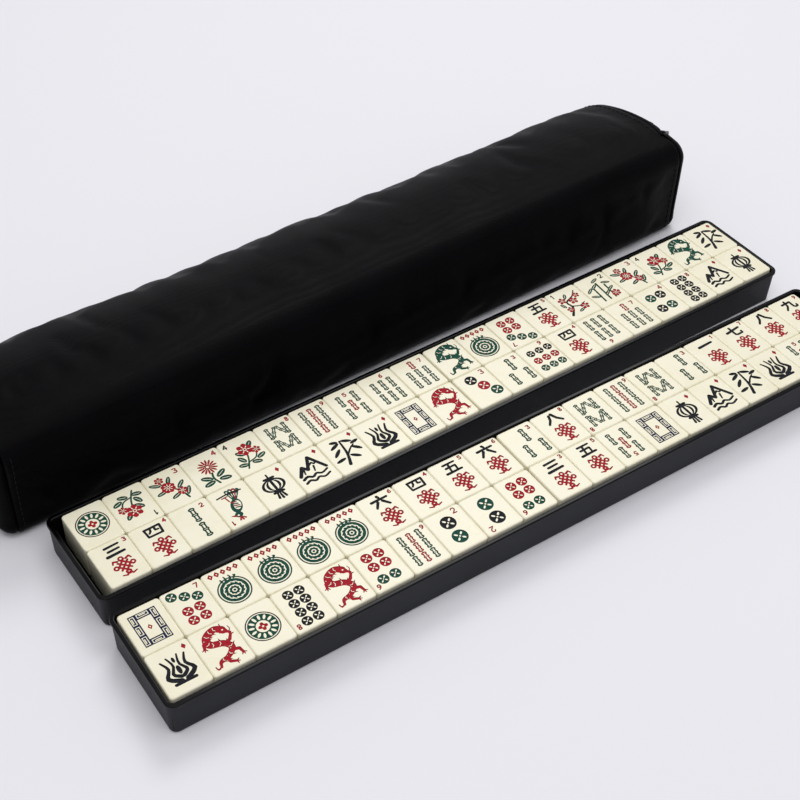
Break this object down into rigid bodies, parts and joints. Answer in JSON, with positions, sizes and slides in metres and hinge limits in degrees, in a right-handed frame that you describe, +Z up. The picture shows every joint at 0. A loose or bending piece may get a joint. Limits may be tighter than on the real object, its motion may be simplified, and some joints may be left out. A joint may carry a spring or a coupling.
{
  "type": "soft game case with tile trays",
  "caption": "Long soft zipped case with a rounded lid, and two black moulded trays that hold rows of ivory game tiles laid out in front of it.",
  "frame": {"origin": "middle of the case's underside, on the surface that the set stands on", "axes": "+X along the case to its right end, +Y towards the case's back, away from the trays, +Z up"},
  "size_m": [0.5062, 0.2815, 0.07],
  "materials": {
    "padded_cloth": "matte, fine grain",
    "lining_cloth": "matte",
    "zip_tape": "matte weave",
    "zip_teeth": "satin",
    "zip_metal": "satin black",
    "tray_plastic": "gloss inside and on the lip, fine grain outside",
    "tile_plastic": "polished ivory"
  },
  "bodies": {
    "case_base": {"base_wrap": "padded_cloth", "base_end_left": "padded_cloth", "base_end_right": "padded_cloth", "base_lining": "lining_cloth", "base_board": "lining_cloth", "fold_strip": "lining_cloth", "zip_tape_base": "zip_tape", "zip_teeth_base": "zip_teeth"},
    "case_lid": {"lid_wrap": "padded_cloth", "lid_end_left": "padded_cloth", "lid_end_right": "padded_cloth", "lid_lining": "lining_cloth", "zip_tape_lid": "zip_tape", "zip_teeth_lid": "zip_teeth"},
    "slider": {"zip_slider": "zip_metal"},
    "pull": {"zip_pull": "zip_metal"},
    "back_tray": {"tray_back": "tray_plastic", "tray_back_floor": "tray_plastic"},
    "front_tray": {"tray_front": "tray_plastic", "tray_front_floor": "tray_plastic"},
    "tiles_back_rear_left_set": {"tiles_back_rear_left": "tile_plastic"},
    "tiles_back_rear_right_set": {"tiles_back_rear_right": "tile_plastic"},
    "tiles_back_near_left_set": {"tiles_back_near_left": "tile_plastic"},
    "tiles_back_near_right_set": {"tiles_back_near_right": "tile_plastic"},
    "tiles_front_rear_left_set": {"tiles_front_rear_left": "tile_plastic"},
    "tiles_front_rear_right_set": {"tiles_front_rear_right": "tile_plastic"},
    "tiles_front_near_left_set": {"tiles_front_near_left": "tile_plastic"},
    "tiles_front_near_right_set": {"tiles_front_near_right": "tile_plastic"}
  },
  "joints": [
    {"name": "lid_fold", "type": "hinge", "parent": "case_base", "child": "case_lid", "pos_m": [0, -0.04279, 0.06783], "axis": [1, 0, 0], "range_deg": [0, 165]},
    {"name": "slider_run", "type": "slide", "parent": "case_base", "child": "slider", "axis": [0, 0.9184, -0.3956], "range_m": [0, 0.0672]},
    {"name": "pull_swing", "type": "hinge", "parent": "slider", "child": "pull", "pos_m": [0.25275, -0.02699, 0.06102], "axis": [0, -0.3956, -0.9184], "range_deg": [0, 170]},
    {"name": "back_tray_lift", "type": "slide", "parent": "case_base", "child": "back_tray", "axis": [0, 0, 1], "range_m": [0, 0.2]},
    {"name": "front_tray_lift", "type": "slide", "parent": "case_base", "child": "front_tray", "axis": [0, 0, 1], "range_m": [0, 0.2]},
    {"name": "tiles_back_rear_left_lift", "type": "slide", "parent": "back_tray", "child": "tiles_back_rear_left_set", "axis": [0, 0, 1], "range_m": [0, 0.06]},
    {"name": "tiles_back_rear_right_lift", "type": "slide", "parent": "back_tray", "child": "tiles_back_rear_right_set", "axis": [0, 0, 1], "range_m": [0, 0.06]},
    {"name": "tiles_back_near_left_lift", "type": "slide", "parent": "back_tray", "child": "tiles_back_near_left_set", "axis": [0, 0, 1], "range_m": [0, 0.06]},
    {"name": "tiles_back_near_right_lift", "type": "slide", "parent": "back_tray", "child": "tiles_back_near_right_set", "axis": [0, 0, 1], "range_m": [0, 0.06]},
    {"name": "tiles_front_rear_left_lift", "type": "slide", "parent": "front_tray", "child": "tiles_front_rear_left_set", "axis": [0, 0, 1], "range_m": [0, 0.06]},
    {"name": "tiles_front_rear_right_lift", "type": "slide", "parent": "front_tray", "child": "tiles_front_rear_right_set", "axis": [0, 0, 1], "range_m": [0, 0.06]},
    {"name": "tiles_front_near_left_lift", "type": "slide", "parent": "front_tray", "child": "tiles_front_near_left_set", "axis": [0, 0, 1], "range_m": [0, 0.06]},
    {"name": "tiles_front_near_right_lift", "type": "slide", "parent": "front_tray", "child": "tiles_front_near_right_set", "axis": [0, 0, 1], "range_m": [0, 0.06]}
  ]
}
